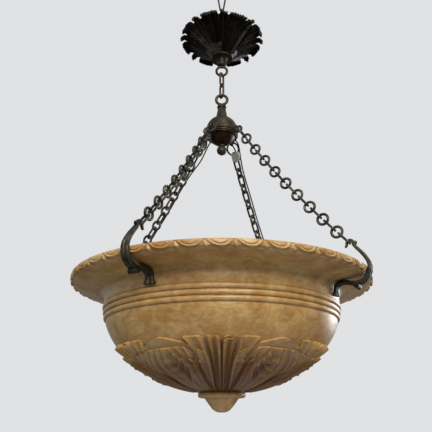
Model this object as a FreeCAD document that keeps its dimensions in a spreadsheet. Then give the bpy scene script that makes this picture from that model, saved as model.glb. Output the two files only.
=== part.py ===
import FreeCAD, Part
import Sketcher
import math
import os
import re

# Alabaster bowl pendant, in millimetres, +Z up. The origin is where a ceiling hook bears inside
# the top of the hanging loop, and everything hangs below it. The bowl's axis is the Z axis.

Vector = FreeCAD.Vector
UP = Vector(0, 0, 1)

doc = FreeCAD.newDocument("bowl_pendant")
sheet = doc.addObject("Spreadsheet::Sheet", "sizes")

SIZES = {
    # clearances
    "wire_play": 0.3,       # between two wires that hang in each other
    "seat_gap": 0.3,        # between a piece and what it rests on
    "neck_play": 0.5,       # between the neck's wires, which cross aslant
    "chain_play": 0.4,      # between a chain's pieces
    "tenon_play": 0.2,      # round a screwed shank or a rod
    # hanging loop and stem
    "loop_wire": 3.6,
    "loop_across": 15.0,    # between the wire's centre lines
    "loop_reach": 33.0,     # inside height
    "eye_across": 10.5,
    "eye_wire": 3.0,
    "stem_thick": 7.0,
    "stem_length": 123.6,   # from the eye's centre to the canopy's seat
    "stem_tenon": 13.0,
    # collar under the canopy, with the suspension ring
    "flange_radius": 22.0,
    "flange_thick": 4.0,
    "collar_radius": 9.5,
    "collar_height": 22.0,
    "ring_across": 26.5,
    "ring_wire": 5.0,
    "ring_bite": 1.5,       # how deep a cast ring runs into its collar
    # canopy, an open cup with curled lobes
    "canopy_radius": 81.0,
    "canopy_height": 50.0,
    "canopy_base": 19.0,
    "canopy_wall": 2.6,
    "canopy_play": 0.5,
    "lobe_pairs": 8,
    "slot_angle": 15.2,     # from the middle of a wide lobe to the slot beside it
    "slot_width": 5.6,
    "slot_depth": 17.0,
    # the two neck links
    "neck_wire": 4.0,
    "neck_length": 35.0,
    "neck_across": 16.6,
    "neck_turn": 60.0,      # degrees from a cast ring's plane to its link's
    # crown
    "crown_ring_across": 27.5,
    "crown_ring_wire": 5.5,
    "shank_thick": 7.0,
    "shank_length": 20.0,
    "shank_collar": 1.8,
    "neck_top_radius": 8.5,
    "neck_foot_radius": 11.4,
    "crown_height": 59.0,
    "dome_height": 30.0,
    "dome_radius": 29.5,
    "lip_radius": 31.0,
    "lip_height": 4.0,
    "crown_wall": 3.2,
    "lug_reach": 37.5,      # from the axis to the middle of a lug's eye
    "lug_drop": 3.5,
    "lug_across": 15.6,
    "lug_wire": 4.6,
    "stub_width": 6.0,
    # closing plate, finial and the rod that holds them
    "plate_radius": 28.5,
    "plate_depth": 26.0,
    "plate_wall": 2.6,
    "ball_radius": 9.5,
    "ball_drop": 13.5,      # from the plate's underside to the ball's centre
    "rod_thick": 5.0,
    "nut_across": 9.0,
    "nut_height": 4.0,
    # chains: a large ring in the crown's eye, then small rings and long links in turn
    "shackle_across": 28.2,
    "shackle_wire": 3.6,
    "chain_rings": 9,
    "chain_ring_across": 22.0,
    "chain_ring_wire": 4.5,
    "chain_link_length": 28.8,
    "chain_link_across": 14.0,
    "chain_link_wire": 4.0,
    "chain_sag": 10.0,      # degrees that a chain turns from its top to its foot
    "first_azimuth": -30.0,
    # hooks
    "hook_inset": 22.5,     # from the rim back to the link in the beak
    "hook_rise": 37.6,      # from the rim up to the link in the beak
    "hook_thick": 6.0,
    "hook_width": 14.0,
    "hook_groove": 1.3,
    "beak_thick": 5.0,
    "beak_drop": 6.5,
    "rim_gap": 0.6,         # between the rim's edge and a hook's arm
    "base_relief": 2.8,     # room over a hook's base for the rim's corner as the hook swings out
    "seat_length": 10.0,
    "seat_reach": 16.7,     # from the middle of a hook's leg out to the middle of its seat
    "bend_radius": 7.0,
    "arm_lean": 45.0,
    "foot_ease": 0.9735,    # how far a hook's foot stands off the flare of the neck
    "foot_drop": 18.3,      # from the lip's root down to the foot
    "foot_width": 18.0,
    "foot_height": 7.0,
    "volute_radius": 4.5,
    # bowl
    "rim_radius": 250.0,
    "lip_edge": 12.0,
    "lip_round": 3.0,
    "lip_root": 19.5,
    "cove_radius": 12.0,
    "bowl_neck": 189.0,     # radius of the neck
    "reed_top": 43.5,
    "reed_proud": 7.0,      # how far the top reed stands out from the neck
    "reed_pitch": 8.2,
    "reed_depth": 1.8,
    "reed_taper": 1.4,
    "belly_radius": 177.5,
    "belly_drop": 96.0,
    "haunch_radius": 155.0,
    "haunch_drop": 121.0,
    "flank_radius": 108.0,
    "flank_drop": 151.5,
    "bowl_depth": 175.0,
    "bowl_wall": 13.0,
    # bottom boss
    "boss_radius": 37.5,
    "boss_disc": 8.5,
    "knob_radius": 26.0,
    "knob_drop": 20.5,
    "dowel_radius": 9.0,
    "dowel_length": 10.0,
    "dowel_play": 0.3,
    # lamps inside the bowl
    "bar_width": 20.0,
    "bar_thick": 3.0,
    "bar_gap": 0.5,         # off the bowl's wall, which curves away under the strap's width
    "lamp_spread": 78.0,
    "holder_radius": 19.0,
    "holder_height": 38.0,
    "holder_wall": 2.0,
    "cap_radius": 13.0,
    "cap_height": 22.0,
    "bulb_radius": 22.5,
    "bulb_height": 46.0,
    # leads
    "lead_thick": 2.6,
    "lead_aside": 9.2,      # beside the chain's middle, clear of its links
    "lead_wide": 16.2,      # the same, where the lead passes the large ring
    "block_width": 13.5,
    "block_thick": 7.0,
    "block_length": 17.0,
}

for row, (alias, number) in enumerate(SIZES.items(), 1):
    sheet.set(f"A{row}", alias)
    sheet.set(f"B{row}", str(number))
    sheet.setAlias(f"B{row}", alias)
doc.recompute()


def bind(text):
    """Write a formula on the sheet's words as an expression."""
    return re.sub(r"[a-z]+(_[a-z]+)+", lambda word: "sizes." + word.group(), text)


def size(text):
    """The value that a formula on the sheet's words has now."""
    return float(sheet.evalExpression(bind(text)))


kept = {}


def keep(name, item, level=0.0, radius=0.0, azimuth=0.0):
    """Name a finished piece and put it at its height, its distance from the axis and its azimuth."""
    turn = FreeCAD.Rotation(UP, azimuth)
    item.Label = name
    item.Placement = FreeCAD.Placement(turn.multVec(Vector(radius, 0, level)), turn)
    kept[name] = item
    return item


# ---- drawing helpers ------------------------------------------------------------------------


def origin_plane(body, role):
    return [item for item in body.Origin.OriginFeatures if item.Role == role][0]


def sketch_in(body, name, role):
    sketch = body.newObject("Sketcher::SketchObject", name)
    sketch.AttachmentSupport = [(origin_plane(body, role), "")]
    sketch.MapMode = "FlatFace"
    return sketch


def pin(sketch, geometry, end, across, up):
    """Tie one point of a sketch to two formulas."""
    for kind, text in (("DistanceX", across), ("DistanceY", up)):
        number = sketch.addConstraint(Sketcher.Constraint(kind, -1, 1, geometry, end, size(text)))
        sketch.setExpression(f"Constraints[{number}]", bind(text))


def draw(sketch, start, steps, closed=True):
    """Draw steps from start. A step is (x, y) for a line, or (x, y of a point on the way, x, y) for
    an arc. Each corner is tied to the size sheet, and a closed outline's last step returns."""
    corners = [start] + [step[-2:] for step in steps]
    spot = [Vector(size(x), size(y), 0) for x, y in corners]
    ends = []
    for number, step in enumerate(steps):
        first, last = spot[number], spot[number + 1]
        if len(step) == 2:
            geometry = sketch.addGeometry(Part.LineSegment(first, last), False)
            ends.append((geometry, 1, 2))
            continue
        middle = Vector(size(step[0]), size(step[1]), 0)
        geometry = sketch.addGeometry(Part.Arc(first, middle, last), False)
        forward = sketch.getPoint(geometry, 1).distanceToPoint(first) < 1e-6
        ends.append((geometry, 1, 2) if forward else (geometry, 2, 1))
        on_arc = sketch.addGeometry(Part.Point(middle), True)
        pin(sketch, on_arc, 1, step[0], step[1])
        sketch.addConstraint(Sketcher.Constraint("PointOnObject", on_arc, 1, geometry))
    for number, (geometry, begin, end) in enumerate(ends):
        pin(sketch, geometry, begin, *corners[number])
        if number + 1 < len(ends):
            after = ends[number + 1]
            sketch.addConstraint(Sketcher.Constraint("Coincident", geometry, end, after[0], after[1]))
    if closed:
        last, first = ends[-1], ends[0]
        sketch.addConstraint(Sketcher.Constraint("Coincident", last[0], last[2], first[0], first[1]))
    else:
        pin(sketch, ends[-1][0], ends[-1][2], *corners[-1])


def turned(name, start, steps):
    """A body turned about the Z axis from an outline of radius and height."""
    body = doc.addObject("PartDesign::Body", name + "_body")
    sketch = sketch_in(body, name + "_outline", "XZ_Plane")
    draw(sketch, start, steps)
    turn = body.newObject("PartDesign::Revolution", name + "_turned")
    turn.Profile = sketch
    turn.ReferenceAxis = (sketch, ["V_Axis"])
    turn.Angle = 360
    body.Tip = turn
    return body


def wire_round(name, start, steps, thick):
    """A closed wire link in the XZ plane. Its path starts at the top, over the origin."""
    body = doc.addObject("PartDesign::Body", name + "_body")
    path = sketch_in(body, name + "_path", "XZ_Plane")
    draw(path, start, steps)
    section = sketch_in(body, name + "_section", "YZ_Plane")
    circle = section.addGeometry(Part.Circle(Vector(0, size(start[1]), 0), UP, size(thick) / 2), False)
    pin(section, circle, 3, "0", start[1])
    number = section.addConstraint(Sketcher.Constraint("Diameter", circle, size(thick)))
    section.setExpression(f"Constraints[{number}]", bind(thick))
    pipe = body.newObject("PartDesign::AdditivePipe", name + "_wire")
    pipe.Profile = section
    pipe.Spine = path
    body.Tip = pipe
    return body


def primitive(kind, name, **formulas):
    item = doc.addObject("Part::" + kind, name)
    for key, text in formulas.items():
        item.setExpression(key, bind(text))
    return item


def standing_ring(name, mean, wire, height=0.0, out=0.0, azimuth=0.0):
    """A round ring in the vertical plane through the axis."""
    ring = primitive("Torus", name, Radius1=mean, Radius2=wire + " / 2")
    turn = FreeCAD.Rotation(UP, azimuth)
    ring.Placement = FreeCAD.Placement(turn.multVec(Vector(out, 0, height)),
                                       turn * FreeCAD.Rotation(Vector(1, 0, 0), 90))
    return ring


def fused(name, *items):
    item = doc.addObject("Part::MultiFuse", name)
    item.Shapes = list(items)
    return item


def tangent_path(corners, radii):
    """A wire of straight runs joined by arcs that touch both runs."""
    edges = []
    here = corners[0]
    for number, radius in enumerate(radii, 1):
        corner = corners[number]
        back = (corners[number - 1] - corner).normalize()
        ahead = (corners[number + 1] - corner).normalize()
        half_turn = (math.pi - back.getAngle(ahead)) / 2
        run = radius * math.tan(half_turn)
        enter = corner + back * run
        leave = corner + ahead * run
        inward = (back + ahead).normalize()
        middle = corner + inward * (radius / math.cos(half_turn) - radius)
        if enter.distanceToPoint(here) > 1e-6:
            edges.append(Part.LineSegment(here, enter).toShape())
        edges.append(Part.Arc(enter, middle, leave).toShape())
        here = leave
    edges.append(Part.LineSegment(here, corners[-1]).toShape())
    return Part.Wire(edges)


def swept(path, section):
    """A solid whose flat section, drawn about the origin with its width along Y, follows a path."""
    start = path.OrderedEdges[0]
    along = start.tangentAt(start.FirstParameter)
    outline = section.copy()
    turn = FreeCAD.Rotation(Vector(1, 0, 0), Vector(0, 1, 0), along, "ZYX")
    outline.Placement = FreeCAD.Placement(path.OrderedVertexes[0].Point, turn)
    return path.makePipeShell([outline], True, False)


def feature(name, shape):
    item = doc.addObject("Part::Feature", name)
    item.Shape = shape
    return item


# ---- heights, from the bearing point down ---------------------------------------------------

loop_foot = -size("loop_reach + loop_wire / 2")
eye_level = loop_foot - size("eye_across / 2 - eye_wire - loop_wire / 2 - wire_play")
seat_level = eye_level - size("stem_length")
ring_level = seat_level - size("collar_height + ring_across / 2 - ring_bite")
ring_foot = ring_level - size("(ring_across - ring_wire) / 2")
neck_pitch = size("neck_length - neck_wire")
upper_top = ring_foot + size("ring_wire / 2 + neck_play + neck_wire / 2")
upper_foot = upper_top - neck_pitch
lower_top = upper_foot + size("neck_wire + neck_play")
lower_foot = lower_top - neck_pitch
crown_ring_top = lower_foot + size("neck_wire / 2 + neck_play + crown_ring_wire / 2")
crown_ring_level = crown_ring_top - size("(crown_ring_across - crown_ring_wire) / 2")
neck_level = crown_ring_level - size("crown_ring_across / 2 + shank_collar")
crown_level = neck_level - size("crown_height")
lug_level = crown_level - size("lug_drop")

# ---- hanging loop ---------------------------------------------------------------------------
# Bent wire: a wide bow at the top for the ceiling hook, drawn in to a tight bow at the foot.

LOOP_FOOT_RADIUS = "(eye_wire / 2 + wire_play + loop_wire / 2)"
LOOP_TOP = "(loop_wire / 2 - loop_across / 2)"
LOOP_LOW = f"(-loop_reach - loop_wire / 2 + {LOOP_FOOT_RADIUS})"
LOOP_LEAN = f"asin((loop_across / 2 - {LOOP_FOOT_RADIUS}) / ({LOOP_TOP} - {LOOP_LOW}))"


def loop_side(side, middle, radius):
    """Where the loop's straight side touches one of its bows."""
    return f"{side} * {radius} * cos({LOOP_LEAN})", f"{middle} + {radius} * sin({LOOP_LEAN})"


top_right = loop_side("1", LOOP_TOP, "loop_across / 2")
top_left = loop_side("-1", LOOP_TOP, "loop_across / 2")
low_right = loop_side("1", LOOP_LOW, LOOP_FOOT_RADIUS)
low_left = loop_side("-1", LOOP_LOW, LOOP_FOOT_RADIUS)
bow = ("loop_across / 2 * sin(45)", f"{LOOP_TOP} + loop_across / 2 * cos(45)")
loop = wire_round("loop", ("0", "loop_wire / 2"), [
    bow + top_right,
    low_right,
    ("0", "-loop_reach - loop_wire / 2") + low_left,
    top_left,
    ("-" + bow[0], bow[1], "0", "loop_wire / 2"),
], "loop_wire")
keep("hanging_loop", loop)

# ---- stem -----------------------------------------------------------------------------------
# A rod with an eye bent square to the loop, screwed down into the collar.

eye = standing_ring("stem_eye", "(eye_across - eye_wire) / 2", "eye_wire", eye_level, 0, 90)
rod = primitive("Cylinder", "stem_rod", Radius="stem_thick / 2",
                Height="stem_length + stem_tenon - eye_across / 2 + eye_wire / 2")
rod.Placement.Base = Vector(0, 0, seat_level - size("stem_tenon"))
keep("stem", fused("stem_fused", eye, rod))

# ---- collar and suspension ring ---------------------------------------------------------------
# Turned flange that carries the canopy, with a cast ring under it for the upper neck link.

collar = turned("collar", ("0", "-stem_tenon - tenon_play"), [
    ("stem_thick / 2 + tenon_play", "-stem_tenon - tenon_play"),
    ("stem_thick / 2 + tenon_play", "0"),
    ("flange_radius - 1.5", "0"),
    ("flange_radius", "-1.5"),
    ("flange_radius", "-flange_thick"),
    ("collar_radius + 5", "-flange_thick"),
    ("collar_radius + 1.6", "-flange_thick - 1.4", "collar_radius", "-flange_thick - 4.8"),
    ("collar_radius", "-collar_height + 4"),
    ("collar_radius - 1.3", "-collar_height + 1.3", "ring_wire / 2 + 2", "-collar_height"),
    ("0", "-collar_height"),
    ("0", "-stem_tenon - tenon_play"),
])
collar.Placement.Base.z = seat_level
ring = standing_ring("suspension_ring", "(ring_across - ring_wire) / 2", "ring_wire", ring_level)
keep("stem_collar", fused("collar_fused", collar, ring))

# ---- canopy -----------------------------------------------------------------------------------
# A cast cup that opens upwards and slides on the stem. Eight wide lobes and eight narrow ones are
# parted by slots, and their tips curl out.

canopy = turned("canopy", ("stem_thick / 2 + canopy_play", "0"), [
    ("canopy_base", "0"),
    ("canopy_base + 3", "2"),
    ("canopy_base + 4", "5"),
    ("canopy_radius - 31", "canopy_height - 18.5", "canopy_radius - 5", "canopy_height - 3.5"),
    ("canopy_radius - 1", "canopy_height - 3", "canopy_radius", "canopy_height - 0.5"),
    ("canopy_radius - 3.5", "canopy_height", "canopy_radius - 7", "canopy_height - 1.5"),
    ("canopy_radius - 33", "canopy_height - 17 + canopy_wall / 2",
     "canopy_base", "4 + canopy_wall"),
    ("stem_thick / 2 + canopy_play", "4 + canopy_wall"),
    ("stem_thick / 2 + canopy_play", "0"),
])
slots = sketch_in(canopy, "canopy_slots", "XY_Plane")
for side in ("1", "-1"):
    # each slot is a parallel-sided notch, square to its own radius
    def notch(out, across, side=side):
        return (f"({out}) * cos(slot_angle) - ({across}) * sin(slot_angle)",
                f"{side} * (({out}) * sin(slot_angle) + ({across}) * cos(slot_angle))")
    inner = "canopy_radius - slot_depth"
    outer = "canopy_radius + 4"
    draw(slots, notch(outer, "-slot_width / 2"), [
        notch(inner, "-slot_width / 2"),
        notch(inner + " - slot_width / 2", "0") + notch(inner, "slot_width / 2"),
        notch(outer, "slot_width / 2"),
        notch(outer, "-slot_width / 2"),
    ])
notches = canopy.newObject("PartDesign::Pocket", "canopy_notches")
notches.Profile = slots
notches.Reversed = True
notches.setExpression("Length", bind("canopy_height + 5"))
pattern = canopy.newObject("PartDesign::PolarPattern", "canopy_lobes")
pattern.Originals = [notches]
pattern.Axis = (slots, ["N_Axis"])
pattern.Angle = 360
pattern.setExpression("Occurrences", bind("lobe_pairs"))
canopy.Tip = pattern
keep("canopy", canopy, seat_level, 0, -19.5)

# ---- neck links -------------------------------------------------------------------------------
# Two long links of browner wire between the two cast rings, each turned a third of the way round
# from the piece above it.

NECK_RADIUS = "((neck_across - neck_wire) / 2)"
for name, top, side in (("upper_link", upper_top, 1), ("lower_link", lower_top, -1)):
    low = f"(-neck_length + neck_wire + {NECK_RADIUS})"
    link = wire_round(name, ("0", "0"), [
        (f"{NECK_RADIUS} * sin(45)", f"-{NECK_RADIUS} * (1 - cos(45))",
         NECK_RADIUS, f"-{NECK_RADIUS}"),
        (NECK_RADIUS, low),
        ("0", "-neck_length + neck_wire", f"-{NECK_RADIUS}", low),
        (f"-{NECK_RADIUS}", f"-{NECK_RADIUS}"),
        (f"-{NECK_RADIUS} * sin(45)", f"-{NECK_RADIUS} * (1 - cos(45))", "0", "0"),
    ], "neck_wire")
    keep("neck_" + name, link, top, 0, side * size("neck_turn"))

# ---- crown ------------------------------------------------------------------------------------
# The ring's shank screws into the crown's neck. The crown is a hollow dome with four cast eyes.

shank = primitive("Cylinder", "crown_shank", Radius="shank_thick / 2",
                  Height="shank_length + shank_collar")
shank.Placement.Base = Vector(0, 0, neck_level - size("shank_length"))
shank_collar = primitive("Cylinder", "crown_shank_collar", Radius="neck_top_radius - 2",
                         Height="shank_collar + ring_bite")
shank_collar.Placement.Base = Vector(0, 0, neck_level)
crown_ring = standing_ring("crown_ring_round", "(crown_ring_across - crown_ring_wire) / 2",
                           "crown_ring_wire", crown_ring_level)
keep("crown_ring", fused("crown_ring_fused", crown_ring, shank, shank_collar))

dome = turned("dome", ("shank_thick / 2 + tenon_play", "crown_height"), [
    ("neck_top_radius", "crown_height"),
    ("neck_top_radius + 0.8", "crown_height - 2", "neck_top_radius", "crown_height - 4"),
    ("neck_top_radius - 1", "crown_height - 5"),
    ("neck_foot_radius", "dome_height + 2"),
    ("neck_foot_radius + 0.4", "dome_height"),
    ("dome_radius * 0.78", "dome_height * 0.76", "dome_radius", "lip_height + 2"),
    ("lip_radius", "lip_height"),
    ("lip_radius", "0"),
    ("lip_radius - crown_wall", "0"),
    ("lip_radius - crown_wall", "lip_height + 1"),
    ("dome_radius * 0.66", "dome_height * 0.66", "rod_thick + 3", "dome_height - crown_wall"),
    ("rod_thick / 2 + tenon_play", "dome_height - crown_wall"),
    ("rod_thick / 2 + tenon_play", "crown_height - shank_length - 0.5"),
    ("shank_thick / 2 + tenon_play", "crown_height - shank_length - 0.5"),
    ("shank_thick / 2 + tenon_play", "crown_height"),
])
dome.Placement.Base.z = crown_level
CHAINS = {
    "front_right": size("first_azimuth"),
    "front_left": size("first_azimuth - 90"),
    "back_left": size("first_azimuth + 180"),
    "back_right": size("first_azimuth + 90"),
}
lugs = []
for side, azimuth in CHAINS.items():
    lugs.append(standing_ring("lug_" + side, "(lug_across - lug_wire) / 2", "lug_wire",
                              lug_level, size("lug_reach"), azimuth))
    stub = primitive("Box", "stub_" + side, Width="stub_width", Height="lip_height + 1.5",
                     Length="lug_reach - (lug_across - lug_wire) / 2 - lip_radius + crown_wall + 1.5")
    turn = FreeCAD.Rotation(UP, azimuth)
    corner = Vector(size("lip_radius - crown_wall + 0.5"), -size("stub_width") / 2, 0.3)
    stub.Placement = FreeCAD.Placement(turn.multVec(corner) + UP * crown_level, turn)
    lugs.append(stub)
keep("crown", fused("crown_fused", dome, *lugs))

# ---- closing plate, rod, nut and ball finial --------------------------------------------------
# The dished plate closes the dome from below. The finial is screwed up the rod against it.

PLATE_DISH = "(plate_depth - 4)"
plate = turned("plate", ("rod_thick / 2 + tenon_play", "-plate_depth + plate_wall"), [
    ("rod_thick / 2 + tenon_play", "-plate_depth"),
    ("9", "-plate_depth"),
    ("plate_radius * 0.76", f"-4 - {PLATE_DISH} * 0.62", "plate_radius", "-4"),
    ("plate_radius", "0"),
    ("plate_radius - plate_wall", "0"),
    ("plate_radius - plate_wall", "-4"),
    ("plate_radius * 0.76 - plate_wall * 0.75", f"-4 - {PLATE_DISH} * 0.62 + plate_wall * 0.7",
     "8.5", "-plate_depth + plate_wall"),
    ("rod_thick / 2 + tenon_play", "-plate_depth + plate_wall"),
])
keep("closing_plate", plate, crown_level)

ball = turned("finial", ("rod_thick / 2", "-ball_drop + 4"), [
    ("rod_thick / 2", "0"),
    ("rod_thick / 2 + 3.2", "0"),
    ("rod_thick / 2 + 1.2", "-2.4", "ball_radius * sin(32)", "-ball_drop + ball_radius * cos(32)"),
    ("ball_radius", "-ball_drop", "0", "-ball_drop - ball_radius"),
    ("0", "-ball_drop + 4"),
    ("rod_thick / 2", "-ball_drop + 4"),
])
keep("ball_finial", ball, crown_level - size("plate_depth"))

rod = primitive("Cylinder", "rod", Radius="rod_thick / 2",
                Height="plate_depth + ball_drop - 4 + crown_height - shank_length - 2")
keep("centre_rod", rod, crown_level - size("plate_depth + ball_drop - 4"))

nut_body = doc.addObject("PartDesign::Body", "nut_body")
nut_sketch = sketch_in(nut_body, "nut_outline", "XY_Plane")
corners = [(f"nut_across / 2 / cos(30) * cos({60 * k})", f"nut_across / 2 / cos(30) * sin({60 * k})")
           for k in range(6)]
draw(nut_sketch, corners[0], corners[1:] + corners[:1])
bore = nut_sketch.addGeometry(Part.Circle(Vector(0, 0, 0), UP, size("rod_thick") / 2), False)
pin(nut_sketch, bore, 3, "0", "0")
number = nut_sketch.addConstraint(Sketcher.Constraint("Diameter", bore, size("rod_thick")))
nut_sketch.setExpression(f"Constraints[{number}]", bind("rod_thick"))
nut = nut_body.newObject("PartDesign::Pad", "nut_pad")
nut.Profile = nut_sketch
nut.setExpression("Length", bind("nut_height"))
nut_body.Tip = nut
keep("rod_nut", nut_body, crown_level + size("dome_height - crown_wall - nut_height"))

# ---- chains -----------------------------------------------------------------------------------
# Each chain runs from a crown eye to a hook's beak: a large ring, then small rings and long links in
# turn. The large ring and the links stand square to the vertical plane of the chain, and the small
# rings lie in it. The slope follows from the reach, and the chain sags a little about it.

WIRE_SIDES = 6
RING_CORNERS = 10
END_CORNERS = 4


def wire_loop(path, normal, wire):
    """A closed link of straight pieces with mitred corners, round a path in the plane of normal."""
    count = len(path)
    rings = []
    for number, corner in enumerate(path):
        back = (path[number - 1] - corner).normalize()
        ahead = (path[(number + 1) % count] - corner).normalize()
        outward = (back + ahead).normalize() * -1
        stretch = 1 / math.cos((math.pi - back.getAngle(ahead)) / 2)
        rings.append([])
        for k in range(WIRE_SIDES):
            angle = 2 * math.pi * (k + 0.5) / WIRE_SIDES
            rings[-1].append(corner + outward * (math.cos(angle) * stretch * wire / 2)
                             + normal * (math.sin(angle) * wire / 2))
    faces = []
    for a, b in zip(rings, rings[1:] + rings[:1]):
        for k in range(WIRE_SIDES):
            after = (k + 1) % WIRE_SIDES
            faces.append(Part.Face(Part.makePolygon([a[k], a[after], b[after], b[k], a[k]])))
    solid = Part.Solid(Part.Shell(faces))
    if solid.Volume < 0:
        solid.reverse()
    return solid


ring_mean = size("(chain_ring_across - chain_ring_wire) / 2")
end_radius = size("(chain_link_across - chain_link_wire) / 2")
link_half = size("(chain_link_length - chain_link_wire) / 2")
ring_path = [Vector(math.cos(2 * math.pi * k / RING_CORNERS), 0,
                    math.sin(2 * math.pi * k / RING_CORNERS)) * ring_mean
             for k in range(RING_CORNERS)]
link_path = []
for end in (1, -1):
    for k in range(END_CORNERS + 1):
        angle = math.pi * (k / END_CORNERS - 0.5)
        link_path.append(Vector(end * (link_half - end_radius + end_radius * math.cos(angle)),
                                end * end_radius * math.sin(angle), 0))
chain_ring = wire_loop(ring_path, Vector(0, 1, 0), size("chain_ring_wire"))
chain_link = wire_loop(link_path, UP, size("chain_link_wire"))

# Each piece as half its length between wire centres, and its wire.
LUG = (size("(lug_across - lug_wire) / 2"), size("lug_wire"))
SHACKLE = (size("(shackle_across - shackle_wire) / 2"), size("shackle_wire"))
RING = (ring_mean, size("chain_ring_wire"))
LINK = (link_half, size("chain_link_wire"))
pieces = [SHACKLE] + [RING, LINK] * int(size("chain_rings"))


def hang(above, below):
    """From one piece's centre to the next one's, along a taut chain."""
    return above[0] + below[0] - (above[1] + below[1]) / 2 - size("chain_play")


lug_hang = hang(LUG, SHACKLE) - SHACKLE[0]
steps = [SHACKLE[0]] + [hang(*pair) for pair in zip(pieces, pieces[1:])] + [LINK[0]]
turns = [math.radians(size("chain_sag")) * (0.5 - k / len(pieces)) for k in range(len(steps))]
flat_x = sum(step * math.cos(turn) for step, turn in zip(steps, turns))
flat_z = sum(step * math.sin(turn) for step, turn in zip(steps, turns))
beak_radius = size("rim_radius - hook_inset")
slope = math.acos((beak_radius - size("lug_reach")) / (math.hypot(flat_x, flat_z) + lug_hang))
slope -= math.atan2(flat_z, flat_x)
pivot = Vector(size("lug_reach") + lug_hang * math.cos(slope), 0,
               lug_level - lug_hang * math.sin(slope))
centres = []
here = pivot
for step, turn in zip(steps, turns):
    here = here + Vector(math.cos(slope + turn), 0, -math.sin(slope + turn)) * step
    centres.append((here, math.degrees(slope + turn)))
beak_point = centres.pop()[0]

for side, azimuth in CHAINS.items():
    shackle = primitive("Torus", "shackle_" + side, Radius2="shackle_wire / 2",
                        Radius1="(shackle_across - shackle_wire) / 2")
    turn = FreeCAD.Rotation(UP, azimuth)
    shackle.Label = f"chain_{side}_shackle"
    shackle.Placement = FreeCAD.Placement(
        turn.multVec(centres[0][0]), turn * FreeCAD.Rotation(Vector(0, 1, 0), centres[0][1]))
    kept[shackle.Label] = shackle
    for kind, piece, chosen in (("rings", chain_ring, centres[1::2]),
                                ("links", chain_link, centres[2::2])):
        solids = []
        for centre, angle in chosen:
            solid = piece.copy()
            lean = FreeCAD.Rotation(Vector(0, 1, 0), angle)
            solid.Placement = FreeCAD.Placement(centre, lean)
            solids.append(solid)
        chain = feature(f"chain_{side}_{kind}_shape", Part.makeCompound(solids))
        keep(f"chain_{side}_{kind}", chain, 0, 0, azimuth)

rim_level = beak_point.z - size("hook_rise")

# ---- hooks ------------------------------------------------------------------------------------
# Cast hooks, each with a narrow beak that takes the chain's last link, an arm of double-ribbed
# section round the rim, a base under the lip, a volute and a flared foot on the neck. A hook is
# drawn about the link in its beak: x is away from the bowl's axis.

thick = size("hook_thick")
rim_x = size("hook_inset")
rim_top = -size("hook_rise")
root_z = rim_top - size("lip_root")
base_drop = size("base_relief") + thick / 2
arm_x = rim_x + size("rim_gap") + thick / 2
arm_z = rim_top - size("lip_edge") - base_drop
leg_x = size("bowl_neck") - beak_radius + size("seat_gap") + thick / 2
flare = max(0, size("(reed_proud - reed_depth) / (reed_top - lip_root - cove_radius)"))
foot_x = size("bowl_neck") - beak_radius + flare * size("foot_drop - cove_radius")
foot_x += (size("seat_gap") + thick / 2) * math.hypot(1, flare) + size("foot_ease")
foot_z = root_z - size("foot_drop")
beak_x = size("beak_thick / 2 + chain_link_wire / 2 + wire_play")
lean = math.radians(size("arm_lean"))
arm_foot = rim_top + 3
arm_top = -3.4
knee_run = (arm_top - arm_foot - (arm_x - beak_x) / math.tan(lean)) / 2
knee_radius = 0.98 * knee_run / math.tan(lean / 2)
hook_corners = [
    (foot_x, foot_z),
    (leg_x, root_z - base_drop),
    (arm_x, arm_z),
    (arm_x, arm_foot + knee_run),
    (beak_x, arm_top - knee_run),
    (beak_x, arm_top + 3),
]
hook_radii = [8.5, size("bend_radius"), knee_radius, knee_radius]
hook_path = tangent_path([Vector(x, 0, z) for x, z in hook_corners], hook_radii)
half = size("hook_width") / 2
groove = size("hook_groove")
rib = [(1, 0.45), (0.8, 1), (0.25, 1), (0, 1 - groove * 2 / thick)]
rib += [(-x, y) for x, y in rib[-2::-1]]
rib += [(-x, -y) for x, y in rib]
section = Part.makePolygon([Vector(y * thick / 2, x * half, 0) for x, y in rib + rib[:1]])
arm = swept(hook_path, section)
beak_path = tangent_path([Vector(beak_x, 0, arm_top - 1), Vector(beak_x, 0, beak_x),
                          Vector(-beak_x, 0, beak_x), Vector(-beak_x, 0, -size("beak_drop"))],
                         [beak_x * 0.98] * 2)
beak = swept(beak_path, Part.Wire(Part.makeCircle(size("beak_thick") / 2)))
volute = Part.makeCylinder(size("volute_radius"), size("hook_width") + 2,
                           Vector(rim_x - 12, -half - 1, arm_z - 7), Vector(0, 1, 0))
foot = Part.makeBox(thick * 0.7, size("foot_width"), size("foot_height"),
                    Vector(foot_x - thick * 0.35, -size("foot_width") / 2, foot_z - 1))
# the seat that the lip rests on, parallel to the lip's underside
lip_slope = math.atan2(size("lip_root - lip_edge"),
                       size("rim_radius - lip_round - bowl_neck - cove_radius"))
seat_x = leg_x + size("seat_reach")
lip_over = (rim_x - size("lip_round") - seat_x) * math.tan(lip_slope)
seat_z = rim_top - size("lip_edge") - lip_over - size("seat_gap")
seat = Part.makeBox(size("seat_length"), size("hook_width"), base_drop,
                    Vector(-size("seat_length") / 2, -half, -base_drop))
seat.Placement = FreeCAD.Placement(Vector(seat_x, 0, seat_z),
                                   FreeCAD.Rotation(Vector(0, -1, 0), math.degrees(lip_slope)))
hook_shape = arm.multiFuse([beak, volute, foot, seat]).removeSplitter()
for side, azimuth in CHAINS.items():
    item = feature(f"hook_{side}_shape", hook_shape)
    keep(f"hook_{side}", item, beak_point.z, beak_point.x, azimuth)

# ---- bowl -------------------------------------------------------------------------------------
# Turned and carved alabaster: a flat lip, a coved neck, three reeds and a full belly. Drawn from the
# rim's top down.

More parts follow.
